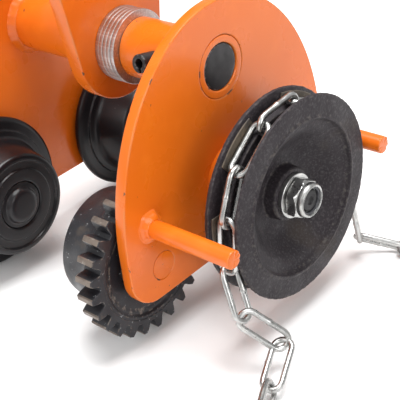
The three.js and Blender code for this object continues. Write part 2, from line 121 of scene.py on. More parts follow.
# The same mask, kept to the faces that are marked as worn edges.
def makeEdgeGroup():
    group, given, result = newGroup("edgeChips", [("Scale", 200.0), ("Low", 0.6), ("High", 0.65)])
    make, link = group.nodes.new, group.links.new
    edge = make("ShaderNodeAttribute")
    edge.attribute_name = "edge"
    place = make("ShaderNodeTexCoord")
    both = make("ShaderNodeMath")
    both.operation = "MULTIPLY"
    cloud, mask = cutCloud(group, given, place.outputs["Object"])
    cloud.inputs["Detail"].default_value = 4
    link(mask, both.inputs[0])
    link(edge.outputs["Fac"], both.inputs[1])
    link(both.outputs[0], result.inputs["Mask"])
    return group


grainGroup = makeGrainGroup()
edgeGroup = makeEdgeGroup()
smudgeRange = (0.35, 0.65)
shaderDefaults = [("Metallic", "metallic", 0.0), ("Specular IOR Level", "specular", 0.5),
                  ("Coat Weight", "coat", 0.0), ("Coat Roughness", "coatRoughness", 0.1)]


def placeGroup(tree, group, values):
    node = tree.nodes.new("ShaderNodeGroup")
    node.node_tree = group
    for label, value in values.items():
        node.inputs[label].default_value = value
    return node.outputs["Mask"]


def grain(tree, scale, low, high, detail=3.0, stretch=1.0):
    values = {"Scale": scale, "Detail": detail, "Low": low, "High": high, "Stretch": stretch}
    return placeGroup(tree, grainGroup, values)


def layer(color, scale, low, high, **more):
    return {"color": color, "scale": scale, "low": low, "high": high, **more}


def bump(scale, strength, height, stretch=1.0):
    return {"scale": scale, "strength": strength, "height": height, "stretch": stretch}


def layerMask(tree, one):
    scale, low, high = one["scale"], one["low"], one["high"]
    if one.get("onEdges"):
        return placeGroup(tree, edgeGroup, {"Scale": scale, "Low": low, "High": high})
    return grain(tree, scale, low, high, one.get("detail", 3.0), one.get("stretch", 1.0))


# Each layer covers the ones before it where its mask is high.
def addLayers(tree, shader, look):
    below = None
    for one in look["layers"]:
        mix = tree.nodes.new("ShaderNodeMix")
        mix.data_type = "RGBA"
        if below:
            tree.links.new(below, mix.inputs[6])
        else:
            mix.inputs[6].default_value = (*look["color"], 1)
        mix.inputs[7].default_value = (*one["color"], 1)
        tree.links.new(layerMask(tree, one), mix.inputs[0])
        below = mix.outputs[2]
    tree.links.new(below, shader.inputs["Base Color"])


def addBumps(tree, shader, look):
    normal = None
    for one in look["bumps"]:
        node = tree.nodes.new("ShaderNodeBump")
        node.inputs["Strength"].default_value = one["strength"]
        node.inputs["Distance"].default_value = one["height"] * mm
        height = grain(tree, one["scale"], 0.0, 1.0, stretch=one["stretch"])
        tree.links.new(height, node.inputs["Height"])
        if normal:
            tree.links.new(normal, node.inputs["Normal"])
        normal = node.outputs["Normal"]
    tree.links.new(normal, shader.inputs["Normal"])


def newFinish(name, look):
    material = bpy.data.materials.new(name)
    material.use_nodes = True
    tree = material.node_tree
    shader = tree.nodes["Principled BSDF"]
    for socket, key, usual in shaderDefaults:
        shader.inputs[socket].default_value = look.get(key, usual)
    addLayers(tree, shader, look)
    rough = tree.nodes.new("ShaderNodeMapRange")
    rough.inputs["To Min"].default_value, rough.inputs["To Max"].default_value = look["roughness"]
    tree.links.new(grain(tree, look["smudgeScale"], *smudgeRange), rough.inputs["Value"])
    tree.links.new(rough.outputs["Result"], shader.inputs["Roughness"])
    addBumps(tree, shader, look)
    return material


orangePaint = newFinish("orangePaint", {
    "color": (0.74, 0.15, 0.008),
    "specular": 0.36, "coat": 0.15,
    "roughness": (0.24, 0.34), "smudgeScale": 30,
    "layers": [
        layer((0.66, 0.125, 0.006), 12, 0.35, 0.75),
        layer((0.77, 0.17, 0.012), 70, 0.55, 0.9),
        layer((0.26, 0.07, 0.02), 190, 0.755, 0.775, detail=2.0),
        layer((0.6, 0.16, 0.03), 60, 0.4, 0.65, onEdges=True),
        layer((0.1, 0.05, 0.03), 170, 0.64, 0.66, onEdges=True),
    ],
    "bumps": [
        bump(420, 0.35, 0.05),
        bump(60, 0.3, 0.12),
    ],
})

castIron = newFinish("castIron", {
    "color": (0.017, 0.0125, 0.0155),
    "specular": 0.27,
    "roughness": (0.5, 0.66), "smudgeScale": 60,
    "layers": [
        layer((0.028, 0.023, 0.026), 40, 0.35, 0.7, detail=6.0),
        layer((0.06, 0.045, 0.032), 26, 0.62, 0.9, detail=6.0),
        layer((0.06, 0.052, 0.056), 650, 0.5, 0.75, detail=5.0),
        layer((0.15, 0.14, 0.14), 1000, 0.68, 0.8),
        layer((0.075, 0.065, 0.06), 300, 0.5, 0.7, onEdges=True),
    ],
    "bumps": [
        bump(900, 0.6, 0.28),
        bump(260, 0.5, 0.4),
    ],
})

castPads = newFinish("castPads", {
    "color": (0.075, 0.06, 0.045),
    "specular": 0.4,
    "roughness": (0.5, 0.7), "smudgeScale": 60,
    "layers": [
        layer((0.13, 0.1, 0.07), 70, 0.4, 0.7, detail=6.0),
        layer((0.035, 0.03, 0.03), 120, 0.55, 0.7, detail=5.0),
    ],
    "bumps": [bump(700, 0.6, 0.3)],
})

gearIron = newFinish("gearIron", {
    "color": (0.014, 0.013, 0.016),
    "metallic": 0.15, "specular": 0.42,
    "roughness": (0.34, 0.55), "smudgeScale": 70,
    "layers": [
        layer((0.03, 0.03, 0.034), 50, 0.4, 0.7, detail=6.0),
        layer((0.3, 0.31, 0.32), 420, 0.67, 0.76),
        layer((0.1, 0.075, 0.055), 60, 0.62, 0.8, detail=5.0),
        layer((0.18, 0.15, 0.125), 260, 0.52, 0.68, onEdges=True),
    ],
    "bumps": [
        bump(800, 0.45, 0.18),
        bump(150, 0.35, 0.3),
    ],
})

wornTeeth = newFinish("wornTeeth", {
    "color": (0.17, 0.135, 0.11),
    "metallic": 0.35,
    "roughness": (0.38, 0.55), "smudgeScale": 90,
    "layers": [
        layer((0.09, 0.07, 0.06), 120, 0.45, 0.7, detail=5.0),
        layer((0.3, 0.265, 0.235), 300, 0.6, 0.75),
    ],
    "bumps": [bump(1400, 0.4, 0.1, 0.1)],
})

blackGloss = newFinish("blackGloss", {
    "color": (0.006, 0.005, 0.006),
    "specular": 0.28, "coat": 0.14, "coatRoughness": 0.14,
    "roughness": (0.28, 0.4), "smudgeScale": 35,
    "layers": [
        layer((0.011, 0.009, 0.011), 30, 0.4, 0.8),
        layer((0.1, 0.09, 0.085), 500, 0.72, 0.78),
        layer((0.05, 0.045, 0.045), 180, 0.55, 0.7, onEdges=True),
    ],
    "bumps": [
        bump(300, 0.2, 0.05),
        bump(50, 0.25, 0.1),
    ],
})

blackSteel = newFinish("blackSteel", {
    "color": (0.012, 0.011, 0.012),
    "metallic": 0.4,
    "roughness": (0.3, 0.48), "smudgeScale": 120,
    "layers": [
        layer((0.035, 0.032, 0.033), 90, 0.4, 0.75, detail=5.0),
        layer((0.14, 0.13, 0.125), 420, 0.5, 0.65, onEdges=True),
    ],
    "bumps": [bump(900, 0.3, 0.06)],
})

zincPlate = newFinish("zincPlate", {
    "color": (0.5, 0.5, 0.49),
    "metallic": 1.0,
    "roughness": (0.24, 0.4), "smudgeScale": 160,
    "layers": [
        layer((0.36, 0.36, 0.35), 110, 0.4, 0.7, detail=5.0),
        layer((0.58, 0.575, 0.55), 300, 0.55, 0.75),
        layer((0.3, 0.22, 0.16), 190, 0.78, 0.86),
    ],
    "bumps": [bump(1200, 0.25, 0.05)],
})

washerSteel = newFinish("washerSteel", {
    "color": (0.52, 0.51, 0.5),
    "metallic": 1.0,
    "roughness": (0.34, 0.5), "smudgeScale": 120,
    "layers": [
        layer((0.42, 0.4, 0.38), 160, 0.45, 0.75, detail=5.0),
        layer((0.7, 0.69, 0.67), 700, 0.5, 0.7, stretch=0.15),
    ],
    "bumps": [bump(1500, 0.35, 0.06, 0.1)],
})

brightSteel = newFinish("brightSteel", {
    "color": (0.58, 0.58, 0.57),
    "metallic": 1.0,
    "roughness": (0.2, 0.34), "smudgeScale": 120,
    "layers": [layer((0.44, 0.43, 0.41), 150, 0.45, 0.7)],
    "bumps": [bump(1500, 0.2, 0.04, 0.1)],
})

bronze = newFinish("bronze", {
    "color": (0.55, 0.36, 0.16),
    "metallic": 1.0,
    "roughness": (0.26, 0.4), "smudgeScale": 120,
    "layers": [layer((0.4, 0.25, 0.11), 150, 0.45, 0.7)],
    "bumps": [bump(1500, 0.25, 0.05, 0.1)],
})

darkNylon = newFinish("darkNylon", {
    "color": (0.05, 0.05, 0.055),
    "roughness": (0.4, 0.5), "smudgeScale": 200,
    "layers": [layer((0.09, 0.09, 0.1), 300, 0.5, 0.7)],
    "bumps": [bump(900, 0.2, 0.05)],
})
print("stage: materials made")


# Making shapes

def newPiece(name, mesh, at, material, sharpAngle=32):
    piece = bpy.data.objects.new(name, mesh)
    scene.collection.objects.link(piece)
    piece.location = at
    mesh.materials.append(material)
    mesh.set_sharp_from_angle(angle=radians(sharpAngle))
    return piece


def meshOf(name, verts, faces, flat=(), edges=()):
    mesh = bpy.data.meshes.new(name)
    mesh.from_pydata([Vector(v) * mm for v in verts], [], faces)
    mesh.polygons.foreach_set("use_smooth", [True] * len(faces))
    for i in flat:
        mesh.polygons[i].use_smooth = False
    worn = mesh.attributes.new("edge", "FLOAT", "FACE")
    for i in edges:
        worn.data[i].value = 1.0
    mesh.update()
    return mesh


filletSettings = {"steps": 3, "mostOfSide": 0.48, "wornFrom": 0.4, "wornTo": 1.3}
bevelSteps = 3


# Corners are (along, radius) or (along, radius, fillet); a fillet rounds that corner.
# Each point made also says whether the face before it is a rounded edge that wear shows on.
def filleted(corners, closed, settings):
    made = []
    count, steps = len(corners), settings["steps"]
    for i, corner in enumerate(corners):
        here = Vector(corner[:2])
        if len(corner) < 3 or (not closed and i in (0, count - 1)):
            made.append((here, False))
            continue
        before = Vector(corners[i - 1][:2]) - here
        after = Vector(corners[(i + 1) % count][:2]) - here
        start = here + before.normalized() * min(corner[2], before.length * settings["mostOfSide"])
        end = here + after.normalized() * min(corner[2], after.length * settings["mostOfSide"])
        worn = settings["wornFrom"] < corner[2] < settings["wornTo"]
        for k in range(steps + 1):
            t = k / steps
            point = start * (1 - t) ** 2 + here * 2 * t * (1 - t) + end * t * t
            made.append((point, k > 0 and worn))
    return made


def mirrored(corners, way):
    return [(way * c[0], *c[1:]) for c in corners]


def turned(name, corners, at, material, segments=96, closed=True, warp=None, sharpAngle=32):
    points = filleted(corners, closed, filletSettings)
    if signedArea([p for p, _ in points]) > 0:
        points = [(points[i][0], points[(i + 1) % len(points)][1]) for i in reversed(range(len(points)))]
    verts, faces, edges, rings = [], [], [], []
    for point, _ in points:
        along, radius = point
        spokes = 1 if radius < 1e-6 else segments
        rings.append([len(verts) + i for i in range(spokes)])
        for i in range(spokes):
            angle = 2 * pi * i / segments
            a, r = warp(along, radius, angle) if warp and spokes > 1 else (along, radius)
            verts.append((a, r * cos(angle), r * sin(angle)))
    last = len(points) if closed else len(points) - 1
    for k in range(last):
        low, high = rings[k], rings[(k + 1) % len(rings)]
        rounded = points[(k + 1) % len(points)][1]
        for i in range(segments):
            j = (i + 1) % segments
            if len(low) == 1 and len(high) == 1:
                continue
            if rounded:
                edges.append(len(faces))
            if len(low) == 1:
                faces.append((low[0], high[j], high[i]))
            elif len(high) == 1:
                faces.append((low[i], low[j], high[0]))
            else:
                faces.append((low[i], low[j], high[j], high[i]))
    return newPiece(name, meshOf(name, verts, faces, edges=edges), at, material, sharpAngle)


def signedArea(loop):
    return sum(p[0] * q[1] - q[0] * p[1] for p, q in zip(loop, loop[1:] + loop[:1])) / 2


def inset(loop, depth):
    made = []
    for i, here in enumerate(loop):
        before = (here - loop[i - 1]).normalized()
        after = (loop[(i + 1) % len(loop)] - here).normalized()
        side = Vector((-before.y - after.y, before.x + after.x)).normalized()
        lean = max(0.5, side.dot(Vector((-after.y, after.x))))
        made.append(here + side * depth / lean)
    return made


# A plate drawn in Y and Z: the first loop is its outline, the others are holes.
def prism(name, loops, start, end, at, material, bevel=0.6, sharpAngle=32, wornWalls=None):
    turnedLoops = []
    for i, loop in enumerate(loops):
        loop = [Vector(p) for p in loop]
        if (signedArea(loop) > 0) != (i == 0):
            loop.reverse()
        turnedLoops.append(loop)
    levels = []
    for k in range(bevelSteps + 1):
        bend = pi / 2 * (1 - k / bevelSteps)
        levels.append((start + bevel * (1 - sin(bend)), bevel * (1 - cos(bend))))
    levels += [(start + end - x, depth) for x, depth in reversed(levels)]
    verts, faces, flat, edges = [], [], [], []
    capLoops = {0: [], len(levels) - 1: []}
    capStarts = {0: [], len(levels) - 1: []}
    walls = []
    for loop in turnedLoops:
        ringStarts = []
        for k, (x, depth) in enumerate(levels):
            ring = inset(loop, depth) if depth > 1e-9 else loop
            ringStarts.append(len(verts))
            if k in capLoops:
                capLoops[k].append(ring)
                capStarts[k].append(len(verts))
            verts += [(x, p.x, p.y) for p in ring]
        count = len(loop)
        for k in range(len(levels) - 1):
            for i in range(count):
                j = (i + 1) % count
                low, high = ringStarts[k], ringStarts[k + 1]
                if k == bevelSteps:
                    walls.append((len(faces), (loop[i] + loop[j]) / 2))
                else:
                    edges.append(len(faces))
                faces.append((low + j, low + i, high + i, high + j))
    for k, rings in capLoops.items():
        index = [s + i for s, ring in zip(capStarts[k], rings) for i in range(len(ring))]
        for triangle in tessellate_polygon([[Vector((p.x, p.y, 0)) for p in ring] for ring in rings]):
            a, b, c = (index[i] for i in triangle)
            ya, yb, yc = (Vector(verts[i][1:]) for i in (a, b, c))
            outward = (yb - ya).cross(yc - ya) > 0
            flat.append(len(faces))
            faces.append((a, b, c) if outward == (k > 0) else (a, c, b))
    piece = newPiece(name, meshOf(name, verts, faces, flat, edges), at, material, sharpAngle)
    if wornWalls:
        test, worn = wornWalls
        piece.data.materials.append(worn)
        for face, middle in walls:
            if test(middle):
                piece.data.polygons[face].material_index = 1
    return piece


def circle(y, z, radius, count=64):
    return [(y + radius * cos(2 * pi * i / count), z + radius * sin(2 * pi * i / count))
            for i in range(count)]


def arc(y, z, radiusY, radiusZ, fromAngle, toAngle, count):
    angles = [radians(fromAngle + (toAngle - fromAngle) * i / count) for i in range(count + 1)]
    return [(y + radiusY * cos(a), z + radiusZ * sin(a)) for a in angles]


rippleSettings = {"perLength": 0.2, "perSeed": 7.3}


# A smooth random ripple round a turned piece, between -1 and 1. Each seed reads its own part of the noise.
def ripple(angle, along, scale, seed):
    depth = along * rippleSettings["perLength"] + seed * rippleSettings["perSeed"]
    return noise.noise(Vector((cos(angle) * scale, sin(angle) * scale, depth)))


def settle(piece, body, slot, *replaced):
    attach(piece, body)
    if replaced:
        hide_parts(*replaced)
    return piece


# Places taken from the frame, in millimetres

def middleOf(node):
    low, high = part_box(node)
    return (low + high) / 2


def onAxis(x, axis):
    return (x, axis.y, axis.z)


farLow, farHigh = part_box("far_side_plate")
plateThickness = (farHigh.x - farLow.x) / mm
nearInner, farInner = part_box("near_side_plate")[0].x, farHigh.x
nearOuter = nearInner + plateThickness * mm
shaftAxis = middleOf("suspension_shaft")
driveAxis = middleOf("hand_chain_wheel")
sides = {"near": (nearInner, -1), "far": (farInner, 1)}  # inner face, and the way to the middle
random.seed(7)


# Side plates

plateSizes = {"halfWidth": 101, "cornerRadius": 22, "edgeRadius": 0.9, "domeSteps": 72,
              "domeLift": 20, "cornerSteps": 10, "axleHole": 9.5, "sleeveHole": 20.25, "bushHole": 17.2}


def plateOutline(sizes):
    low = farLow.z / mm
    top = farHigh.z / mm
    dome = middleOf("near_front_axle").z / mm + sizes["domeLift"]
    half, corner, steps = sizes["halfWidth"], sizes["cornerRadius"], sizes["cornerSteps"]
    outline = arc(0, dome, half, top - dome, 0, 180, sizes["domeSteps"])
    outline += arc(-half + corner, low + corner, corner, corner, 180, 270, steps)
    outline += arc(half - corner, low + corner, corner, corner, 270, 360, steps)
    return outline


def holeAt(place, radius, count=48):
    return circle(place.y / mm, place.z / mm, radius, count)


def makePlates(sizes):
    for end, (inner, inward) in sides.items():
        holes = [holeAt(shaftAxis, sizes["sleeveHole"], 96)]
        for place in ("front", "back"):
            holes.append(holeAt(middleOf(f"{end}_{place}_axle"), sizes["axleHole"]))
        if end == "near":
            holes.append(holeAt(driveAxis, sizes["bushHole"]))
        start, finish = sorted((0, -inward * plateThickness))
        plate = prism(f"{end}Plate", [plateOutline(sizes)] + holes, start, finish, (inner, 0, 0),
                      orangePaint, sizes["edgeRadius"], 25)
        settle(plate, "trolley_frame", "orange_paint", f"{end}_side_plate")
    boss = turned("bushBoss", [(-0.5, 17.1), (-0.5, 24.2), (13, 24, 1.2), (14, 24, 1.2), (14, 17.1, 0.6)],
                  onAxis(nearOuter, driveAxis), orangePaint)
    settle(boss, "trolley_frame", "orange_paint")


makePlates(plateSizes)
print("stage: side plates made")


# Crossbar: sleeves, shaft, lock pins and spacer washers

crossbarSizes = {"sleeve": 20, "bore": 15.3, "shaft": 15, "beadWidth": 4.2, "washer": 25, "washerBore": 15.4,
                 "washerCount": 5, "washerSwell": 0.08, "pin": 6, "pinBore": 3, "pinStart": 12, "pinTip": 33,
                 "pinTilt": 12, "pinSlit": 7.0}  # the slit is half its angle, in degrees


def makeSleeve(end, inner, inward, sizes):
    low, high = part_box(f"{end}_sleeve")
    length = (high.x - low.x) / mm
    outer = onAxis(inner - inward * plateThickness * mm, shaftAxis)
    r, bore = sizes["sleeve"], sizes["bore"]
    corners = [(0, bore, 1.2), (0, r, 0.5), (inward * length, r, 0.9), (inward * length, bore, 0.6)]
    settle(turned(f"{end}Sleeve", corners, outer, orangePaint), "trolley_frame", "orange_paint",
           f"{end}_sleeve")

    def bead(along, radius, angle):
        swell = 0.16 * sin(angle * 22) + 0.5 * ripple(angle, along, 2.2, len(end))
        lift = max(0.0, radius - r) / sizes["beadWidth"]
        return along + inward * 0.25 * swell * (along != 0), radius + swell * lift

    width = sizes["beadWidth"]
    corners = mirrored([(-0.2, r - 0.5), (-0.2, r + width, 0.4), (1.6, r + width * 0.75, 1.5),
                        (3.8, r + width * 0.35, 1.5), (5.2, r - 0.1, 0.5), (4.4, r - 0.5)], inward)
    weld = turned(f"{end}SleeveWeld", corners, onAxis(inner, shaftAxis), orangePaint, 156,
                  warp=bead, sharpAngle=60)
    settle(weld, "trolley_frame", "orange_paint")


def makeLockPin(end, sizes):
    pin = middleOf(f"{end}_lock_pin")
    facing = -1 if end == "near" else 1
    tilt = radians(sizes["pinTilt"])
    axis = Vector((0, facing * cos(tilt), sin(tilt)))
    r, bore = sizes["pin"], sizes["pinBore"]
    start, tip = sizes["pinStart"], sizes["pinTip"]
    slit = sizes["pinSlit"]
    section = arc(0, 0, r, r, -90 + slit, 270 - slit, 60)
    section += arc(0, 0, bore, bore, 270 - 2 * slit, -90 + 2 * slit, 40)
    piece = prism(f"{end}LockPin", [section], start, tip, (0, 0, 0), blackSteel, 0.9, 40)
    turn = Vector((1, 0, 0)).rotation_difference(axis).to_matrix().to_4x4()
    piece.matrix_world = Matrix.Translation(onAxis(pin.x, shaftAxis)) @ turn
    settle(piece, "trolley_frame", "black_steel", f"{end}_lock_pin")


def makeWashers(end, sizes):
    for i in range(1, sizes["washerCount"] + 1):
        low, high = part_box(f"{end}_washer_{i}")
        half = (high.x - low.x) / mm / 2 + sizes["washerSwell"]
        r = sizes["washer"] + random.uniform(-0.25, 0.1)
        rim = random.uniform(0.35, 0.6)
        bore = sizes["washerBore"]
        corners = [(-half, bore), (-half, r, rim), (half, r, rim), (half, bore)]
        place = ((low.x + high.x) / 2, shaftAxis.y + random.uniform(-0.2, 0.2) * mm,
                 shaftAxis.z - random.uniform(0, 0.25) * mm)
        washer = turned(f"{end}Washer{i}", corners, place, washerSteel, 128)
        settle(washer, "trolley_frame", "zinc_plate", f"{end}_washer_{i}")


def makeCrossbar(sizes):
    for end, (inner, inward) in sides.items():
        makeSleeve(end, inner, inward, sizes)
        makeLockPin(end, sizes)
        makeWashers(end, sizes)
    low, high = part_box("suspension_shaft")
    length = (high.x - low.x) / mm
    r = sizes["shaft"]
    corners = [(0.4, 0), (0, 9, 3), (0, r, 1.0), (length, r, 1.0), (length, 9, 3), (length - 0.4, 0)]
    shaft = turned("suspensionShaft", corners, onAxis(low.x, shaftAxis), blackSteel, 96, False)
    settle(shaft, "trolley_frame", "black_steel", "suspension_shaft")


makeCrossbar(crossbarSizes)
print("stage: crossbar made")


# Load hanger

hangerSizes = {"foot": 38.5, "head": 52.5, "rise": 95, "eye": 21, "bore": 15.4, "edgeRadius": 1.0}


def makeHanger(sizes):
    low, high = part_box("hanger_plate")
    half = (high.x - low.x) / mm / 2
    lean = degrees(asin((sizes["head"] - sizes["foot"]) / sizes["rise"]))
    outline = arc(0, 0, sizes["foot"], sizes["foot"], 180 + lean, 360 - lean, 40)
    outline += arc(0, sizes["rise"], sizes["head"], sizes["head"], -lean, 180 + lean, 60)
    holes = [circle(0, 0, sizes["bore"]), circle(0, sizes["rise"], sizes["eye"])]
    at = onAxis((low.x + high.x) / 2, shaftAxis)
    plate = prism("hangerPlate", [outline] + holes, -half, half, at, orangePaint, sizes["edgeRadius"], 25)
    settle(plate, "hanger", "orange_paint", "hanger_plate")


makeHanger(hangerSizes)
print("stage: hanger made")


# Chain guide rods

rodSizes = {"radius": 6, "chamfer": 0.7, "weldRadius": 9.6, "weldHeight": 4.6}


def makeRods(sizes):
    for seed, place in enumerate(("front", "back")):
        low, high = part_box(f"{place}_guide_rod")
        axis = (low + high) / 2
        start = onAxis(nearOuter, axis)
        length = (high.x - nearOuter) / mm
        r = sizes["radius"]

        def chipped(along, radius, angle, seed=seed):
            chip = max(0.0, ripple(angle, 0, 2.6, seed) - 0.18) * 2.2 if along > length - 2 else 0
            return along - chip * 0.6, radius - chip * 0.5 * (radius > 2)

        corners = [(-0.2, 0), (-0.2, r), (length - 2.5, r), (length - 1.2, r, 0.4),
                   (length, r - 0.1, sizes["chamfer"]), (length, r * 0.6), (length, 0)]
        rod = turned(f"{place}GuideRod", corners, start, orangePaint, 64, False, chipped)
        settle(rod, "trolley_frame", "orange_paint", f"{place}_guide_rod")

        def lumpy(along, radius, angle, seed=seed):
            lump = 1.5 * ripple(angle, along, 1.4, seed + 3) + 0.45 * ripple(angle, along, 3.5, seed + 5)
            lift = min(1.0, max(0.0, radius - r) / 2)
            return along + 0.5 * lump * (along > 0.3), radius + lump * lift

        w, h = sizes["weldRadius"], sizes["weldHeight"]
        corners = [(-0.2, r - 0.5), (-0.2, w + 1.2), (0.35, w + 0.6, 1.5), (1.4, w - 0.8, 1.5),
                   (h * 0.7, r + 1.4, 2), (h, r + 0.1, 1.5), (h - 1, r - 0.5)]
        weld = turned(f"{place}RodWeld", corners, start, orangePaint, 96, warp=lumpy, sharpAngle=70)
        settle(weld, "trolley_frame", "orange_paint")


makeRods(rodSizes)
print("stage: guide rods made")


# Gear teeth

gearSizes = {"module": 4, "pressureAngle": 20, "backlash": 0.5, "flankSteps": 6, "rootFlare": 0.02,
             "landDepth": 0.6, "pinionTurn": 0.41}  # the turn is a share of the pinion's tooth pitch
wheelGear = {"teeth": 25, "addendum": 3.2, "dedendum": 5, "bore": 41.5, "boreSteps": 96, "bevel": 0.55}
pinionGear = {"teeth": 14, "addendum": 4, "dedendum": 4.4, "bore": 12.2, "boreSteps": 48, "bevel": 0.5}


def gearOutline(gear, firstTooth, sizes):
    teeth = gear["teeth"]
    pitch = sizes["module"] * teeth / 2
    pressure = radians(sizes["pressureAngle"])
    base = pitch * cos(pressure)
    half = pi / (2 * teeth) - sizes["backlash"] / (2 * pitch)
    tip, root = pitch + gear["addendum"], pitch - gear["dedendum"]
    start = max(base, root)
    spread = tan(pressure) - pressure
    flank = [(root, half + spread + (sizes["rootFlare"] if start > root else 0))]
    for i in range(sizes["flankSteps"] + 1):
        radius = start + (tip - start) * i / sizes["flankSteps"]
        angle = acos(min(1.0, base / radius))
        flank.append((radius, half + spread - tan(angle) + angle))
    outline = []
    for i in range(teeth):
        middle = firstTooth + i * 2 * pi / teeth
        for radius, offset in flank:
            outline.append((radius * cos(middle - offset), radius * sin(middle - offset)))
        for radius, offset in reversed(flank):
            outline.append((radius * cos(middle + offset), radius * sin(middle + offset)))
    return outline


def towardsDrive(axle):
    return atan2(driveAxis.z - axle.z, driveAxis.y - axle.y)


pinionPhase = towardsDrive(middleOf("near_front_axle")) + pi
pinionPhase += gearSizes["pinionTurn"] * 2 * pi / pinionGear["teeth"]


def wheelPhase(axle):
    toAxle = towardsDrive(axle) + pi
    pinionPitch = 2 * pi / pinionGear["teeth"]
    wheelPitch = 2 * pi / wheelGear["teeth"]
    return towardsDrive(axle) + (0.5 - (pinionPhase - toAxle) / pinionPitch) * wheelPitch


# Wheels

wheelSizes = {"bearingSeat": 23.9, "bore": 17.3, "treadRoot": 42, "treadEnd": 37.5, "treadLength": 29.5,
              "gearStep": 44, "plainStep": 48, "flangeGap": 3.2, "gearFace": 14, "plainFlange": 6.5,
              "capRadius": 17.2}


# The teeth of a geared wheel or of the pinion, with the tops of the teeth worn.
def makeTeeth(name, gear, firstTooth, at, sizes):
    outline = gearOutline(gear, firstTooth, gearSizes)
    land = gearSizes["module"] * gear["teeth"] / 2 + gear["addendum"] - gearSizes["landDepth"]
    start, end = -sizes["flangeGap"] - sizes["gearFace"], -sizes["flangeGap"]
    loops = [outline, circle(0, 0, gear["bore"], gear["boreSteps"])]
    worn = (lambda middle: middle.length > land, wornTeeth)
    return prism(name, loops, start, end, at, gearIron, gear["bevel"], 30, worn)


def treadCorners(flangeEnd, step, sizes):
    end = flangeEnd + sizes["treadLength"]
    return [
        (flangeEnd + 2, step, 0.6), (flangeEnd + 2.2, sizes["treadRoot"] + 1.2, 1.6),
        (flangeEnd + 6, sizes["treadRoot"] - 0.4, 1.5), (end - 0.2, sizes["treadEnd"], 2.4),
        (end, 33.4, 0.5), (end - 1.6, 32.6, 0.6), (end - 1.6, 27.4, 0.6), (end, 26.6, 0.5), (end, 18.6, 0.6),
        (end - 1, 17.6, 0.3), (end - 8, sizes["bore"]), (19.5, sizes["bore"]), (19.5, sizes["bearingSeat"]),
    ]


def makeGearedWheel(place, sizes):
    axle = middleOf(f"near_{place}_axle")
    at = onAxis(nearInner, axle)
    gap, flangeEnd = sizes["flangeGap"], sizes["flangeGap"] + sizes["gearFace"]
    corners = [
        (gap + 3, sizes["bearingSeat"]), (gap + 3, 35, 1), (gap + 2.2, 36.4, 0.8), (gap + 2.2, 38, 0.6),
        (gap + 0.4, 39.6, 0.5), (gap + 0.4, 44), (flangeEnd - 1, 44), (flangeEnd - 1, sizes["gearStep"]),
    ] + treadCorners(flangeEnd, sizes["gearStep"], sizes)
    casting = turned(f"{place}GearedWheel", mirrored(corners, -1), at, gearIron, 128)
    body = f"near_{place}_wheel"
    settle(casting, body, "gear_iron", f"near_{place}_geared_wheel")
    settle(makeTeeth(f"{place}GearTeeth", wheelGear, wheelPhase(axle), at, sizes), body, "gear_iron")


def makePlainWheel(place, sizes):
    axle = middleOf(f"far_{place}_axle")
    gap, flangeEnd = sizes["flangeGap"], sizes["flangeGap"] + sizes["plainFlange"]
    tip = axle.z / mm
    corners = [
        (gap + 1.2, sizes["bearingSeat"]), (gap + 1.2, 46, 0.8), (gap, 47, 0.5), (gap, tip - 1.4, 0.6),
        (gap + 1.2, tip, 1.4), (flangeEnd - 1.6, tip, 1.4), (flangeEnd, tip - 2.5, 1.4),
        (flangeEnd + 0.2, sizes["plainStep"] + 0.3, 0.7),
    ] + treadCorners(flangeEnd, sizes["plainStep"], sizes)
    wheel = turned(f"{place}PlainWheel", corners, onAxis(farInner, axle), blackGloss, 128)
    settle(wheel, f"far_{place}_wheel", "black_gloss", f"far_{place}_plain_wheel")


def makeHubCap(end, place, inner, inward, sizes):
    flange = sizes["gearFace"] if end == "near" else sizes["plainFlange"]
    front = sizes["flangeGap"] + flange + sizes["treadLength"]
    axle = middleOf(f"{end}_{place}_axle")
    r = sizes["capRadius"]
    corners = [(front - 5.5, r - 1.2), (front - 5.5, r), (front - 1, r, 0.6), (front - 0.8, r - 3.4, 0.8),
               (front + 2.2, r - 4.8, 1.2), (front + 3.4, r - 7.5, 2), (front + 3.6, 0), (front + 2.2, 0),
               (front + 1.2, r - 7, 1), (front - 2.4, r - 5.4, 0.6)]
    at = onAxis(inner, axle)
    cap = turned(f"{end}{place.title()}HubCap", mirrored(corners, inward), at, blackGloss, 64)
    settle(cap, f"{end}_{place}_wheel", "black_gloss", f"{end}_{place}_hub_cap")


def makeAxle(end, place, inner, inward):
    axle = middleOf(f"{end}_{place}_axle")
    painted = mirrored([(-plateThickness, 0), (-plateThickness, 9.44, 0.35), (-1, 9.44), (-1, 0)], inward)
    bare = mirrored([(-1, 0), (-1, 9.2), (0.3, 9.2), (0.3, 13, 0.5), (4.7, 13, 0.5), (4.7, 10),
                     (24.5, 10, 0.8), (24.5, 0)], inward)
    at = onAxis(inner, axle)
    rivet = turned(f"{end}{place.title()}AxleHead", painted, at, orangePaint, 64, False)
    settle(rivet, "trolley_frame", "orange_paint")
    pin = turned(f"{end}{place.title()}Axle", bare, at, blackSteel, 64, False)
    settle(pin, "trolley_frame", "black_steel", f"{end}_{place}_axle")


for end, (inner, inward) in sides.items():
    for place in ("front", "back"):
        if end == "near":
            makeGearedWheel(place, wheelSizes)
        else:
            makePlainWheel(place, wheelSizes)
        makeHubCap(end, place, inner, inward, wheelSizes)
        makeAxle(end, place, inner, inward)
print("stage: wheels made")


# Hand chain wheel and its drive shaft

handWheelSizes = {"radius": 67, "width": 26, "boss": 16.5, "bossDepth": 10.3, "webDepth": 18.5,
                  "grooveHalf": 9.1, "slotHalf": 2.7, "grooveFloor": 55.4, "slotFloor": 49, "hub": 20,
                  "bore": 10.2, "padCount": 6, "padInner": 56.2, "padOuter": 64.2, "padRise": 0.5,
                  "padSink": 0.6, "padAngle": 34, "firstPad": 125, "padTaper": 1.5}


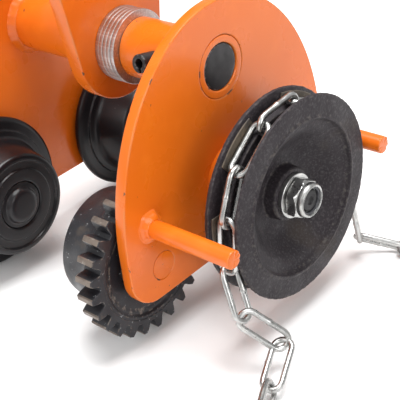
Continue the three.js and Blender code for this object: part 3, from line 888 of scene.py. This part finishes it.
def roughRim(along, radius, angle):
    if radius < 60:
        return along + 0.12 * ripple(angle, along, 5, 2), radius + 0.1 * ripple(angle, along, 6, 4)
    fine = 0.28 * ripple(angle, along, 22, 3) + 0.2 * ripple(angle, along, 60, 5)
    return along + 0.25 * fine, radius - 0.15 + fine


def makePads(at, middle, sizes):
    inner, outer = sizes["padInner"], sizes["padOuter"]
    spread, taper = sizes["padAngle"] / 2, sizes["padTaper"]
    for side, name in ((-1, "Rear"), (1, "Front")):
        wall = middle + side * (sizes["grooveHalf"] + sizes["padSink"])
        top = middle + side * (sizes["grooveHalf"] - sizes["padRise"])
        start, end = sorted((wall, top))
        for i in range(sizes["padCount"]):
            centre = sizes["firstPad"] - i * 360 / sizes["padCount"]
            shape = arc(0, 0, inner, inner, centre - spread, centre + spread, 14)
            shape += arc(0, 0, outer, outer, centre + spread - taper, centre - spread + taper, 14)
            pad = prism(f"pocketPad{name}{i + 1}", [shape], start, end, at, castPads, 0.5, 40)
            settle(pad, "hand_wheel", "cast_iron")


def makeHandWheel(sizes):
    low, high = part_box("hand_chain_wheel")
    at = onAxis(high.x, driveAxis)
    r, back, middle = sizes["radius"], -sizes["width"], -sizes["width"] / 2
    hubStart = (low.x - high.x) / mm
    half, slot, floor = sizes["grooveHalf"], sizes["slotHalf"], sizes["grooveFloor"]
    boss, bossFace, web = sizes["boss"], -sizes["bossDepth"], -sizes["webDepth"] - 0.8
    corners = [
        (hubStart, sizes["bore"]), (hubStart, sizes["hub"], 1.2), (back - 3, sizes["hub"] + 1.5, 3),
        (back + 2.5, 30, 4), (back + 2, 46, 3), (back, 51, 1.5), (back, r - 0.3, 1.0), (back + 3.0, r, 0.9),
        (middle - half, r - 6, 2), (middle - half, floor + 0.5, 1.2), (middle - slot, floor, 0.8),
        (middle - slot, sizes["slotFloor"], 0.8), (middle + slot, sizes["slotFloor"], 0.8),
        (middle + slot, floor, 0.8), (middle + half, floor + 0.5, 1.2), (middle + half, r - 6, 2),
        (-3.0, r, 0.9), (-0.7, r - 0.3, 1.0), (-0.7, 53.2, 1.0), (0, 52.4, 0.5), (0, 51.2, 0.6),
        (-3.0, 50.2, 1.2), (-4.4, 48.4, 2), (-6, 43, 4), (-17, 31.5, 6), (web, 25, 4),
        (web, boss + 1.6, 1.2), (bossFace - 1, boss + 1.2, 0.6), (bossFace, boss + 0.2, 0.7),
        (bossFace, sizes["bore"]),
    ]
    wheel = turned("handChainWheel", corners, at, castIron, 288, warp=roughRim)
    settle(wheel, "hand_wheel", "cast_iron", "hand_chain_wheel")
    makePads(at, middle, sizes)


fastenerSizes = {"washer": 15, "washerBore": 8.4, "acrossFlats": 24, "hexHeight": 8.2, "collar": 11.6,
                 "thread": 8, "threadPitch": 2}


def makeFastener(sizes):
    low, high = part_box("hand_wheel_washer")
    thick = (high.x - low.x) / mm
    corners = [(-0.2, sizes["washerBore"]), (-0.2, sizes["washer"], 0.3), (thick, sizes["washer"], 0.9),
               (thick, sizes["washerBore"], 0.3)]
    washer = turned("handWheelWasher", corners, onAxis(low.x, driveAxis), zincPlate, 96)
    settle(washer, "hand_wheel", "zinc_plate", "hand_wheel_washer")
    low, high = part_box("lock_nut")
    height = (high.x - low.x) / mm
    at = onAxis(low.x, driveAxis)
    settle(hexNut("lockNut", height, at, sizes), "hand_wheel", "zinc_plate", "lock_nut")
    corners = [(height - 4.2, 8.1), (height - 4.2, 9.6), (height - 1.4, 9.6, 0.4), (height - 1.4, 8.1, 0.5)]
    insert = turned("lockNutInsert", corners, at, darkNylon, 64)
    settle(insert, "hand_wheel", "zinc_plate")


# A hexagon whose corners are turned down at both ends, under a plain rolled collar.
def hexNut(name, height, at, sizes):
    flat, top = sizes["acrossFlats"] / 2, sizes["hexHeight"]
    collar = sizes["collar"]
    corner = flat / cos(pi / 6)
    levels = [(0.0, flat - 0.6), (0.15, flat - 0.1), (0.45, flat + 0.5), (0.8, flat + 1.0),
              (1.2, corner + 0.1), (top - 1.6, corner + 0.1), (top - 1.1, flat + 1.1),
              (top - 0.6, flat + 0.5), (top - 0.2, flat - 0.1), (top, flat - 0.6)]
    count = 96
    rings = []
    for x, limit in levels:
        ring = []
        for i in range(count):
            angle = 2 * pi * i / count
            fold = (angle + pi / 6) % (pi / 3) - pi / 6
            ring.append((x, min(flat / cos(fold), limit), angle))
        rings.append(ring)
    crown = [(top, collar), (height - 2.2, collar), (height - 1.2, collar - 0.35),
             (height - 0.4, collar - 1.0), (height, collar - 1.8), (height, 10.1), (height - 0.5, 9.4),
             (height - 1.5, 9.2), (height - 3, 9.2), (height - 4, 7.6), (0.0, 7.6)]
    for x, radius in crown:
        rings.append([(x, radius, 2 * pi * i / count) for i in range(count)])
    verts = [(x, r * cos(a), r * sin(a)) for ring in rings for x, r, a in ring]
    faces = []
    for k in range(len(rings)):
        low, high = k * count, (k + 1) % len(rings) * count
        for i in range(count):
            j = (i + 1) % count
            faces.append((high + j, high + i, low + i, low + j))
    return newPiece(name, meshOf(name, verts, faces), at, zincPlate, 24)


def makeDriveShaft(sizes):
    low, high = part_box("drive_shaft")
    at = onAxis(nearInner, driveAxis)
    start, tip = (low.x - nearInner) / mm, (high.x - nearInner) / mm
    hub = (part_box("hand_chain_wheel")[0].x - nearInner) / mm - 0.5
    threadStart = (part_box("hand_wheel_washer")[0].x - nearInner) / mm - 2.5
    thread, pitch = sizes["thread"], sizes["threadPitch"]
    corners = [(start, 0), (start + 0.6, 2.4, 0.3), (start, 3, 0.3), (start, 12.5, 1), (hub, 12.5, 0.5),
               (hub, 10), (threadStart, 10), (threadStart, thread)]
    along = threadStart + 1
    while along < tip - 2.6:
        corners += [(along, thread - 1.1), (along + pitch / 2, thread)]
        along += pitch
    corners += [(tip - 1.2, thread - 0.4), (tip, thread - 1.5, 0.4), (tip, 3.1, 0.3), (tip - 0.9, 2.3, 0.3),
                (tip - 1.2, 0)]
    shaft = turned("driveShaft", corners, at, blackSteel, 72, False)
    settle(shaft, "hand_wheel", "black_steel", "drive_shaft")
    settle(makeTeeth("drivePinion", pinionGear, pinionPhase, at, wheelSizes), "hand_wheel", "black_steel")
    corners = [(-2.8, 12.8, 0.3), (-2.8, 21, 0.6), (-0.3, 21, 0.4), (-0.3, 17), (22, 17, 0.5),
               (22, 12.8, 0.5)]
    bush = turned("driveBush", corners, at, bronze, 64)
    settle(bush, "trolley_frame", "bronze", "drive_bush")


makeHandWheel(handWheelSizes)
makeFastener(fastenerSizes)
makeDriveShaft(fastenerSizes)
print("stage: hand chain wheel made")


# Hand chain

# Angles are in degrees. The lead and tail twists turn the first and last free links by the listed angles.
chainSizes = {"wire": 4, "outerWidth": 16, "innerLength": 32, "slack": 0.7, "weldSwell": 0.2,
              "weldLength": 0.045, "linksPerTurn": 12, "firstJoint": 170, "jointsOnWheel": 6,
              "strandLean": 6, "floorTilt": 45, "twistPerLink": 16, "steepest": 0.75,
              "leadTwist": (0, -50, -20), "tailTwist": (45, 45)}
frontRoute = [
    (106.3, -64.4, 60.2), (109.4, -66.8, 52), (117, -69.5, 42), (128, -64, 29.5),
    (137.5, -55, 18.8), (143.2, -57, 12.3), (146, -68, 8.6), (148, -81, 7.6),
    (151.5, -96, 7.2), (159, -108, 6.8), (171, -116, 6.6), (186, -118, 6.6),
    (206, -114, 6.6), (236, -103, 6.6), (264, -95.5, 6.6),
]
backRoute = [
    (106.05, 62.4, 70.8), (106.1, 65.3, 58), (106.6, 70.5, 38), (108, 72, 21),
    (112.5, 72.5, 9.5), (121, 76.5, 6.6), (132, 85.5, 6.6), (147, 92.5, 6.6),
    (168, 95, 6.6), (192, 95, 7.5), (215, 95, 14), (240, 95, 27.5), (264, 95.5, 40),
]
coilSizes = {"radii": (88, 72, 72, 88, 88, 72, 72, 88), "trim": 0.2, "layerStep": 14, "lowest": 6.6,
             "firstAngle": -82, "lastAngle": 82, "stepAngle": 10, "turnStart": -90, "shiftAngle": 70}


def linkShape(sizes, alongSteps, aroundSteps):
    wire = sizes["wire"] / 2
    bend = sizes["outerWidth"] / 2 - wire
    reach = (sizes["innerLength"] + sizes["wire"]) / 2 - bend
    line = []
    half = alongSteps // 2
    for side in (1, -1):
        for i in range(half + 1):
            angle = pi * i / half - pi / 2
            x, y = reach + bend * cos(angle), bend * sin(angle)
            line.append((Vector((side * x, side * y, 0)), 1.0))
        for share in (0.3, 0.42, 0.46, 0.5, 0.54, 0.58, 0.7):
            weld = sizes["weldSwell"] * exp(-((share - 0.5) / sizes["weldLength"]) ** 2)
            swell = 1.0 + (weld if side == 1 else 0)
            line.append((Vector((side * reach * (1 - 2 * share), side * bend, 0)), swell))
    verts, faces = [], []
    count = len(line)
    for k, (point, swell) in enumerate(line):
        ahead = (line[(k + 1) % count][0] - line[k - 1][0]).normalized()
        outward = Vector((ahead.y, -ahead.x, 0))
        for i in range(aroundSteps):
            angle = 2 * pi * i / aroundSteps
            radial = outward * cos(angle) + Vector((0, 0, sin(angle)))
            verts.append(point + radial * wire * swell)
    for k in range(count):
        low, high = k * aroundSteps, (k + 1) % count * aroundSteps
        for i in range(aroundSteps):
            j = (i + 1) % aroundSteps
            faces.append((low + i, high + i, high + j, low + j))
    return verts, faces


def linkTurn(start, end, wide):
    ahead = (end - start).normalized()
    wide = (wide - ahead * wide.dot(ahead)).normalized()
    turn = Matrix((ahead, wide, ahead.cross(wide))).transposed()
    return Matrix.Translation((start + end) / 2) @ turn.to_4x4()


def wheelJoints(sizes):
    pitch = sizes["innerLength"] - sizes["slack"]
    radius = pitch / (2 * sin(pi / sizes["linksPerTurn"]))
    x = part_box("hand_chain_wheel")[1].x / mm - handWheelSizes["width"] / 2
    centre = Vector((x, driveAxis.y / mm, driveAxis.z / mm))
    turn = 360 / sizes["linksPerTurn"]
    joints = []
    for i in range(sizes["jointsOnWheel"]):
        angle = radians(sizes["firstJoint"] - i * turn)
        joints.append(centre + Vector((0, radius * cos(angle), radius * sin(angle))))
    lean = radians(sizes["strandLean"])
    down = Vector((0, 0, -pitch * cos(lean)))
    out = Vector((0, pitch * sin(lean), 0))
    return [joints[0] + down - out] + joints + [joints[-1] + down + out]


def smoothLine(points, spacing):
    line = [points[0]]
    for i in range(len(points) - 1):
        p0 = points[max(i - 1, 0)]
        p1, p2 = points[i], points[i + 1]
        p3 = points[min(i + 2, len(points) - 1)]
        steps = max(2, round((p2 - p1).length / spacing))
        for k in range(1, steps + 1):
            t = k / steps
            line.append(0.5 * (2 * p1 + (p2 - p0) * t + (2 * p0 - 5 * p1 + 4 * p2 - p3) * t * t
                               + (3 * p1 - p0 - 3 * p2 + p3) * t ** 3))
    return line


def coilPoints(sizes):
    low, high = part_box("chain_coil")
    centre = (low + high) / 2 / mm
    radii, shift = sizes["radii"], sizes["shiftAngle"]
    first = sizes["firstAngle"]
    last = sizes["lastAngle"] + 360 * (len(radii) - 1)
    count = round((last - first) / sizes["stepAngle"])
    points = []
    for i in range(count + 1):
        angle = first + (last - first) * i / count
        wound = angle - sizes["turnStart"]
        turn = min(len(radii) - 1, int(wound // 360))
        after = min(len(radii) - 1, turn + 1)
        share = max(0.0, (wound % 360 - (360 - shift)) / shift)  # the last part of a turn moves to the next
        ease = share * share * (3 - 2 * share)
        radius = radii[turn] * (1 - ease) + radii[after] * ease + sizes["trim"]
        layer = (turn // 2) * (1 - ease) + (after // 2) * ease
        x = centre.x + radius * cos(radians(angle))
        y = centre.y + radius * sin(radians(angle))
        points.append(Vector((x, y, sizes["lowest"] + sizes["layerStep"] * layer)))
    return points


def jointsAlong(line, pitch):
    joints = [line[0]]
    k = 0
    while True:
        while k + 1 < len(line) and (line[k + 1] - joints[-1]).length < pitch:
            k += 1
        if k + 1 >= len(line):
            return joints
        a, b = line[k], line[k + 1]
        low, high = 0.0, 1.0
        for _ in range(20):
            t = (low + high) / 2
            if (a.lerp(b, t) - joints[-1]).length < pitch:
                low = t
            else:
                high = t
        joints.append(a.lerp(b, high))


# How far a link that lies down turns towards its tilt, from the twist of the link before it.
def twistToTilt(ahead, wide, twist, sizes):
    level = ahead.cross(Vector((0, 0, 1))).normalized()
    angle = degrees(atan2(ahead.dot(level.cross(wide)), level.dot(wide)))
    goal = (sizes["floorTilt"] - angle - twist + 45) % 90 - 45
    return max(-sizes["twistPerLink"], min(sizes["twistPerLink"], goal))


# Each link stands a quarter turn from the one before it, plus the twist.
def chainOf(name, joints, sizes, wide, shape):
    linkVerts, linkFaces = shape
    verts, faces = [], []
    twist = 0.0
    tail = len(joints) - 1 - len(sizes["tailTwist"])
    for i, (start, end) in enumerate(zip(joints, joints[1:])):
        ahead = (end - start).normalized()
        wide = (wide - ahead * wide.dot(ahead)).normalized()
        if i < len(sizes["leadTwist"]):
            twist += sizes["leadTwist"][i]
        elif i >= tail:
            twist += sizes["tailTwist"][i - tail]
        elif abs(ahead.z) < sizes["steepest"]:
            twist += twistToTilt(ahead, wide, twist, sizes)
        across = Matrix.Rotation(radians(twist + 90 * (i % 2)), 3, ahead) @ wide
        place = linkTurn(start, end, across)
        base = len(verts)
        verts += [place @ v for v in linkVerts]
        faces += [tuple(base + j for j in face) for face in linkFaces]
    return newPiece(name, meshOf(name, verts, faces), (0, 0, 0), zincPlate, 60)


def makeWheelLinks(joints, sizes):
    verts, faces = linkShape(sizes, 20, 14)
    axial = Vector((1, 0, 0))
    for i, (start, end) in enumerate(zip(joints, joints[1:])):
        ahead = (end - start).normalized()
        wide = axial if i % 2 == 0 else axial.cross(ahead)
        place = linkTurn(start, end, wide)
        name = f"chainLink{i + 1}"
        link = newPiece(name, meshOf(name, [place @ v for v in verts], faces), (0, 0, 0), zincPlate, 60)
        settle(link, "trolley_frame", "zinc_plate", f"chain_link_{i + 1}")


def makeChain(sizes):
    joints = wheelJoints(sizes)
    makeWheelLinks(joints, sizes)
    route = [joints[0]] + [Vector(p) for p in frontRoute] + coilPoints(coilSizes)
    route += [Vector(p) for p in reversed(backRoute)] + [joints[-1]]
    along = jointsAlong(smoothLine(route, 3), sizes["innerLength"] - sizes["slack"])
    free = chainOf("handChain", along, sizes, Vector((0, 1, 0)), linkShape(sizes, 16, 12))
    settle(free, "trolley_frame", "zinc_plate", "chain_front_strand", "chain_back_strand", "chain_coil")


makeChain(chainSizes)
print("stage: hand chain made")


# Finishes of the hidden pieces that keep their own shape

hiddenFinishes = {"_race": brightSteel, "_key": brightSteel, "_circlip": blackSteel}
for name, node in nodes.items():
    for ending, finish in hiddenFinishes.items():
        if name.endswith(ending):
            node.data.materials.clear()
            node.data.materials.append(finish)


# Floor and lights

floorSettings = {"size": 4000, "height": -0.0004, "color": (0.96, 0.96, 0.96, 1), "roughness": 0.85,
                 "specular": 0.1}
worldStrength = 0.52


def makeFloor(settings):
    size = settings["size"]
    verts = [(-size, -size, 0), (size, -size, 0), (size, size, 0), (-size, size, 0)]
    material = bpy.data.materials.new("floorPale")
    material.use_nodes = True
    shader = material.node_tree.nodes["Principled BSDF"]
    shader.inputs["Base Color"].default_value = settings["color"]
    shader.inputs["Roughness"].default_value = settings["roughness"]
    shader.inputs["Specular IOR Level"].default_value = settings["specular"]
    mesh = meshOf("studioFloor", verts, [(0, 1, 2, 3)])
    floor = newPiece("studioFloor", mesh, (0, 0, settings["height"]), material)


lightSettings = [
    {"name": "topLight", "place": (0.1, 0.2, 1.8), "aim": (0.05, 0, 0.1), "size": 1.3, "power": 46},
    {"name": "frontLight", "place": (1.5, -0.5, 0.8), "aim": (0, 0, 0.12), "size": 0.9, "power": 9},
    {"name": "sideLight", "place": (-0.2, -1.6, 1.1), "aim": (0, 0, 0.1), "size": 1.0, "power": 8},
]


def makeLights(settings):
    for one in settings:
        data = bpy.data.lights.new(one["name"], "AREA")
        data.shape = "DISK"
        data.size = one["size"]
        data.energy = one["power"]
        light = bpy.data.objects.new(one["name"], data)
        scene.collection.objects.link(light)
        light.location = one["place"]
        aim = Vector(one["aim"]) - Vector(one["place"])
        light.rotation_euler = aim.to_track_quat("-Z", "Y").to_euler()
    world = bpy.data.worlds.new("studioWorld")
    world.use_nodes = True
    world.node_tree.nodes["Background"].inputs["Color"].default_value = (1, 1, 1, 1)
    world.node_tree.nodes["Background"].inputs["Strength"].default_value = worldStrength
    scene.world = world
    scene.view_settings.view_transform = "Standard"


makeFloor(floorSettings)
makeLights(lightSettings)
print("stage: floor and lights made")
